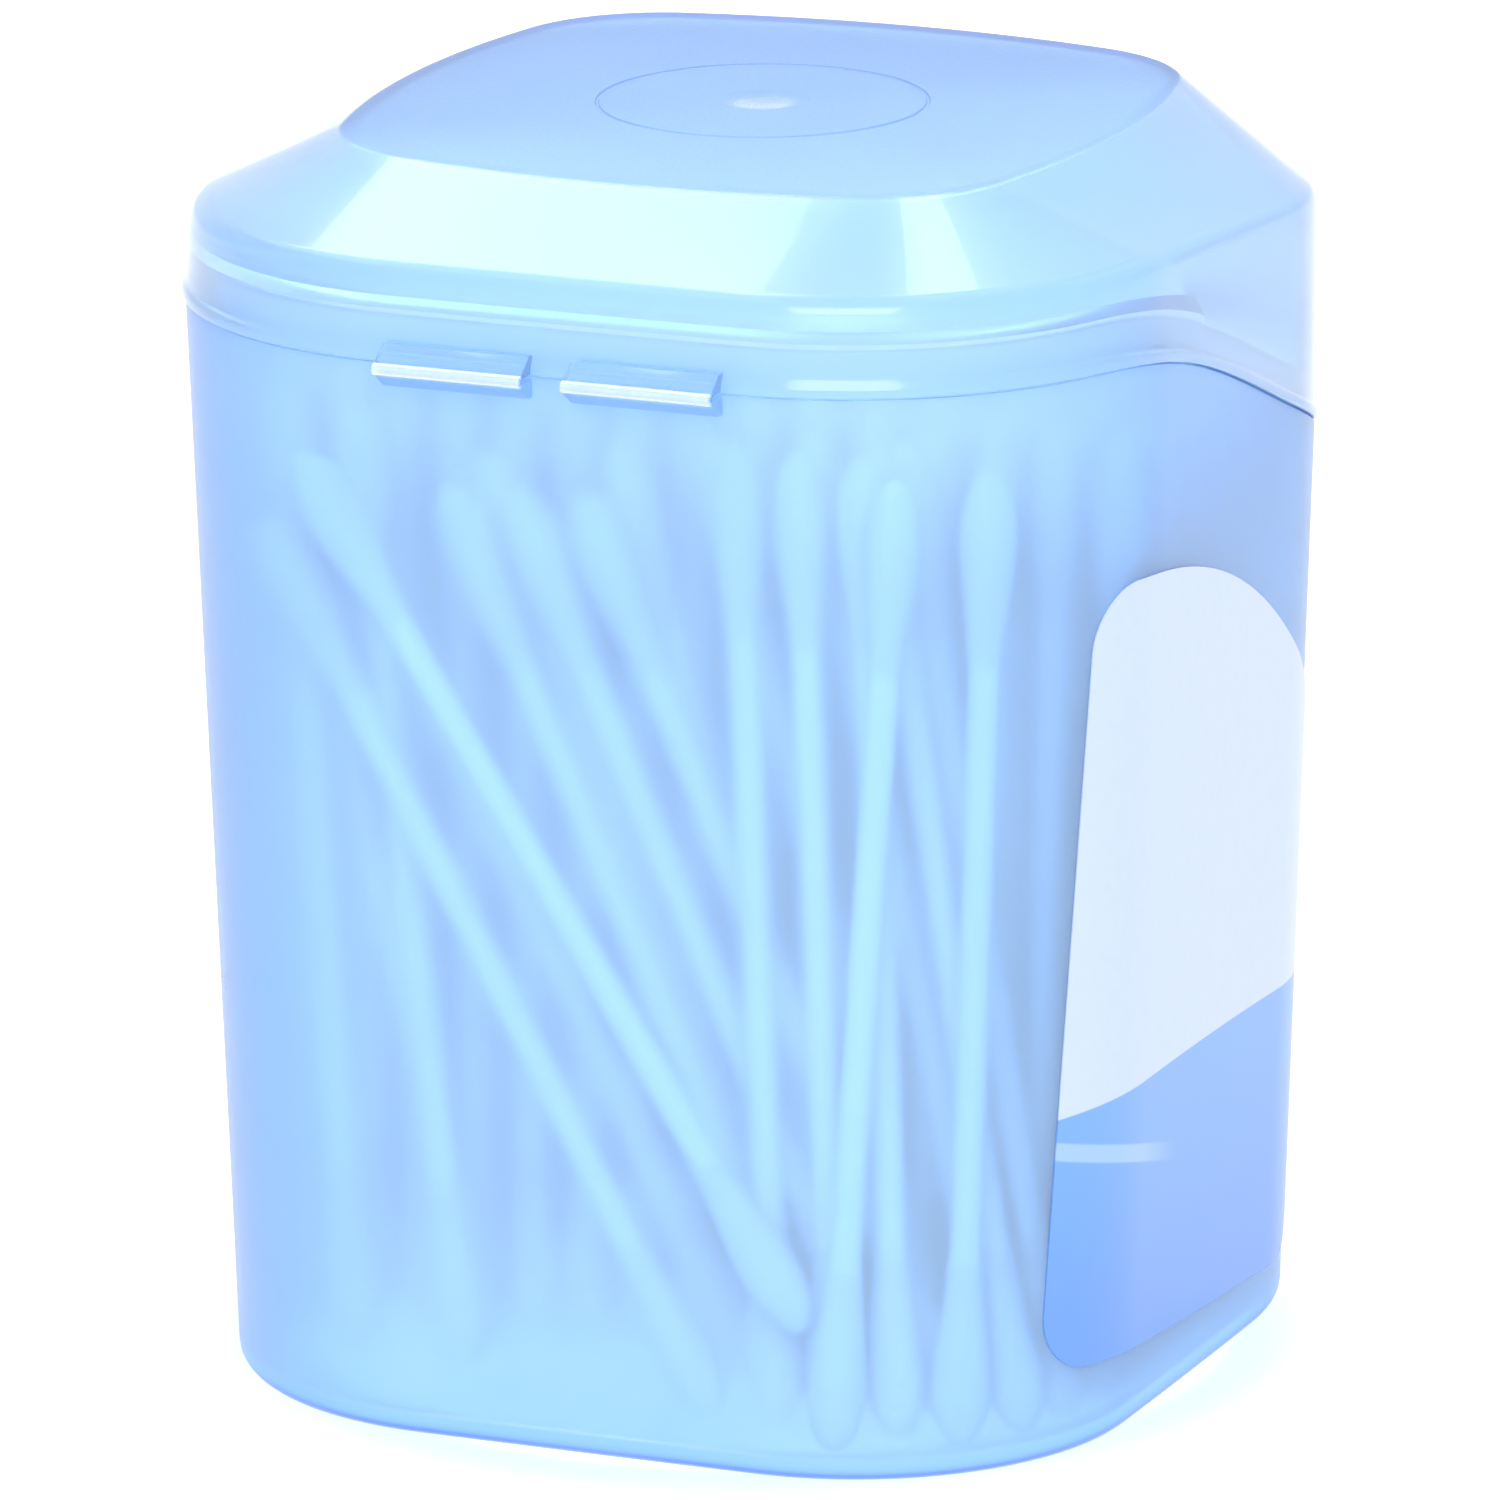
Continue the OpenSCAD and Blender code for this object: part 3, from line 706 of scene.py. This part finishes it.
def bud(tip_at, inward):
    """Points, faces and map of one bud, from its tip along its stick."""
    steps = [dome * (1 - math.cos(a)) for a in np.linspace(0.14, math.pi / 2, 7)]
    steps += list(np.linspace(dome, bud_long, 11)[1:])
    turn_by, lumps = chance.uniform(0, 6.283), [chance.uniform(0, 6.283) for _ in range(3)]
    side = np.cross(inward, (0, 1, 0))
    side = side / np.linalg.norm(side)
    other = np.cross(inward, side)
    angles = turn_by + np.arange(around) * 2 * math.pi / around
    spots_round = np.cos(angles)[:, None] * side + np.sin(angles)[:, None] * other
    rings, where = [], []
    for s in steps:
        uneven = 0.013 * np.sin(2 * angles + 0.5 * s + lumps[0])
        uneven += 0.011 * np.sin(3 * angles - 0.9 * s + lumps[1])
        uneven += 0.010 * np.sin(angles + 3.5 * s + lumps[2])
        r = bud_radius(s) * (1 - 0.02 + uneven)
        rings.append(tip_at + inward * s * mm + spots_round * r[:, None] * mm)
        where.append(s)
    for s in (bud_long, tip):
        rings.append(tip_at + inward * s * mm + spots_round * stick_round * mm)
        where.append(s)
    points = np.concatenate([[tip_at], *rings, [tip_at + inward * tip * mm]])
    last, n = len(points) - 1, around
    faces = [(0, 1 + (i + 1) % n, 1 + i) for i in range(n)]
    faces += [(1 + j * n + i, 1 + j * n + (i + 1) % n, 1 + (j + 1) * n + (i + 1) % n, 1 + (j + 1) * n + i)
              for j in range(len(rings) - 1) for i in range(n)]
    faces += [(last, last - n + i, last - n + (i + 1) % n) for i in range(n)]
    places = [(0.5, 0.0)] + [(i / n + 0.02 * s, s / 20) for s in where for i in range(n)]
    places += [(0.5, tip / 20)]
    return points, faces, places


print("a bud is", 2 * bud_round, "mm thick and", bud_long, "mm long")

# %% [markdown]
# A row's lower buds are one piece and its upper buds another, as in the CAD model, so
# each piece can stand for its node. The buds sit where the sticks' ends were found.

# %% All the buds, row by row
def cotton_row(name, tips):
    points, faces, places = [], [], []
    for tip_at, inward in tips:
        some, skins, marks = bud(tip_at, inward)
        faces += [tuple(len(points) + i for i in face) for face in skins]
        points += list(some)
        places += marks
    piece = mesh_piece(name.replace("swab", "cotton"), points, faces, cotton.material)
    layer = piece.data.uv_layers.new(name="winding")
    for loop in piece.data.loops:
        layer.data[loop.index].uv = places[loop.vertex_index]
    smooth(piece, 60)
    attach(piece, "tub")
    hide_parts(name)
    return len(piece.data.polygons)


bud_faces = 0
for row, ends in sticks.items():
    feet, heads = [], []
    for low_end, high_end in ends:
        up = (high_end - low_end) / np.linalg.norm(high_end - low_end)
        feet.append((low_end - up * tip * mm, up))
        heads.append((high_end + up * tip * mm, -up))
    bud_faces += cotton_row("swab_feet_row_" + row, feet) + cotton_row("swab_heads_row_" + row, heads)
print("cotton faces:", bud_faces)

# %% [markdown]
# ## The label
# One side carries a printed film label with an arched top, stuck on a few degrees out
# of true. It is a thin closed skin that follows the tub's bowed and drafted wall. It is
# built from its own flat outline: u runs along the tub, v runs up, and the tilt turns
# them before they are laid on the wall. A Shrinkwrap modifier would also lay it on, but
# the wall's own arcs give the exact place. The same u and v are its map for the print.

# %% The label's skin
label_back, label_front, label_low, label_top, label_corner = 25.2, 20.0, 5.6, 64.0, 4.5
arch_round, arch_at, label_tilt = 52.0, 20.0, math.radians(3.5)
film_gap, film_thick, across_steps, up_steps = 0.03, 0.12, 72, 30
side_angle = tub_plan[side_steps, 3]
side_half, corner_middle = side_radius * side_angle, tub_plan[side_steps, 0]


def on_wall(s, z, off):
    """The point at a distance along the label's side, from its middle, and a height."""
    if abs(s) <= side_half:
        cx, cy, r, a = half_base - side_radius, 0, side_radius, s / side_radius
    else:
        way = math.copysign(1, s)
        cx, cy, r = corner_middle, way * corner_middle, corner_radius
        a = way * (side_angle + (abs(s) - side_half) / corner_radius)
    grown = r + draft * z + off
    return -(cx + grown * math.cos(a)), -(cy + grown * math.sin(a)), z


def rounding(d):
    short = min(label_corner, max(0, label_corner - d))
    return label_corner - math.sqrt(label_corner ** 2 - short ** 2)


flat_label = []
for k in range(across_steps + 1):
    u = -label_back + (label_back + label_front) * (1 - math.cos(math.pi * k / across_steps)) / 2
    trim = rounding(min(u + label_back, label_front - u))
    top = label_top - arch_round + math.sqrt(arch_round ** 2 - (u + arch_at) ** 2) - trim
    bottom = label_low + trim
    flat_label += [(u, bottom + (top - bottom) * j / up_steps) for j in range(up_steps + 1)]


def label_skin(off):
    tilted = [(u * math.cos(label_tilt) + v * math.sin(label_tilt),
               v * math.cos(label_tilt) - u * math.sin(label_tilt)) for u, v in flat_label]
    return [on_wall(s, z, off) for s, z in tilted]


print("points on one side of the label:", len(flat_label))

# %% [markdown]
# The print is a pale field over a deep blue one, parted by a wavy border, with one
# light ribbon that fades out. The print could be an image, but plain bands of the
# label's own u and v stay sharp at any size. A film label is smooth and lightly
# glossy, with only a breath of unevenness in its ink.

# %% The label's print
label = Finish("label_print", Roughness=0.38, Coat_Weight=0.25, Coat_Roughness=0.12)
spread = label.node("ShaderNodeSeparateXYZ", {}, {"Vector": label.place("UV")}, "X")
map_size, map_shift = 100, 50
print_u, print_v = spread * map_size - map_shift, spread.out("Y") * map_size
ink = label.noise(label.place(), 900.0, 3.0)
pale = label.blend(ink, (0.42, 0.51, 0.71), (0.45, 0.54, 0.74))
deep = label.blend(label.band(print_v, 5.0, 27.0), (0.095, 0.245, 0.68), (0.125, 0.3, 0.75))
border = 26.8 + print_u * 0.045 - print_u * print_u * 0.0014
below = label.band(print_v - border, -0.08, 0.08, 1, 0)
ribbon_middle = 22.4 - (print_u + label_back) * 0.19
from_ribbon = label.node("ShaderNodeMath", {"operation": "ABSOLUTE"}, {0: print_v - ribbon_middle})
ribbon = label.band(from_ribbon, 0.55, 0.8, 1, 0)
ribbon = ribbon * label.band(print_u, -16.0, -7.0, 0.75, 0.0)
deep = label.blend(ribbon, deep, (0.3, 0.46, 0.82))
label.set(Base_Color=label.blend(below, pale, deep))
label.bump(ink, 0.1, 0.00005)

# %% [markdown]
# The skin is closed: a front, a back a hair off the wall, and a rim that joins them
# all round, so the film has a real edge.

# %% Front, back and rim
rows_up = up_steps + 1
under = len(flat_label)
outline_round = [k * rows_up for k in range(across_steps)]
outline_round += [across_steps * rows_up + j for j in range(up_steps)]
outline_round += [k * rows_up + up_steps for k in range(across_steps, 0, -1)]
outline_round += list(range(up_steps, 0, -1))
faces = []
for k in range(across_steps):
    for j in range(up_steps):
        corners = (k * rows_up + j, (k + 1) * rows_up + j, (k + 1) * rows_up + j + 1, k * rows_up + j + 1)
        faces += [corners, tuple(under + c for c in reversed(corners))]
after = outline_round[1:] + outline_round[:1]
faces += [(b, a, under + a, under + b) for a, b in zip(outline_round, after)]
label_points = np.array(label_skin(film_gap + film_thick) + label_skin(film_gap)) * mm
label_film = mesh_piece("label_film", label_points, faces, label.material)
layer = label_film.data.uv_layers.new(name="print")
for loop in label_film.data.loops:
    u, v = flat_label[loop.vertex_index % under]
    layer.data[loop.index].uv = ((u + map_shift) / map_size, v / map_size)
smooth(label_film, 30)
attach(label_film, "tub")
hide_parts("label")
print("label faces:", len(label_film.data.polygons))

# %% [markdown]
# ## The two boxes
# The visual model has to fill the same box as the CAD model. Both boxes are printed in
# millimetres.

# %% Print both boxes
boxes = {"cad": [list(map(float, corner)) for corner in cad_box],
         "visual": [list(map(float, corner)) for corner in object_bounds()]}
print("boxes in mm:", {k: [[round(c * 1000, 2) for c in p] for p in v] for k, v in boxes.items()})
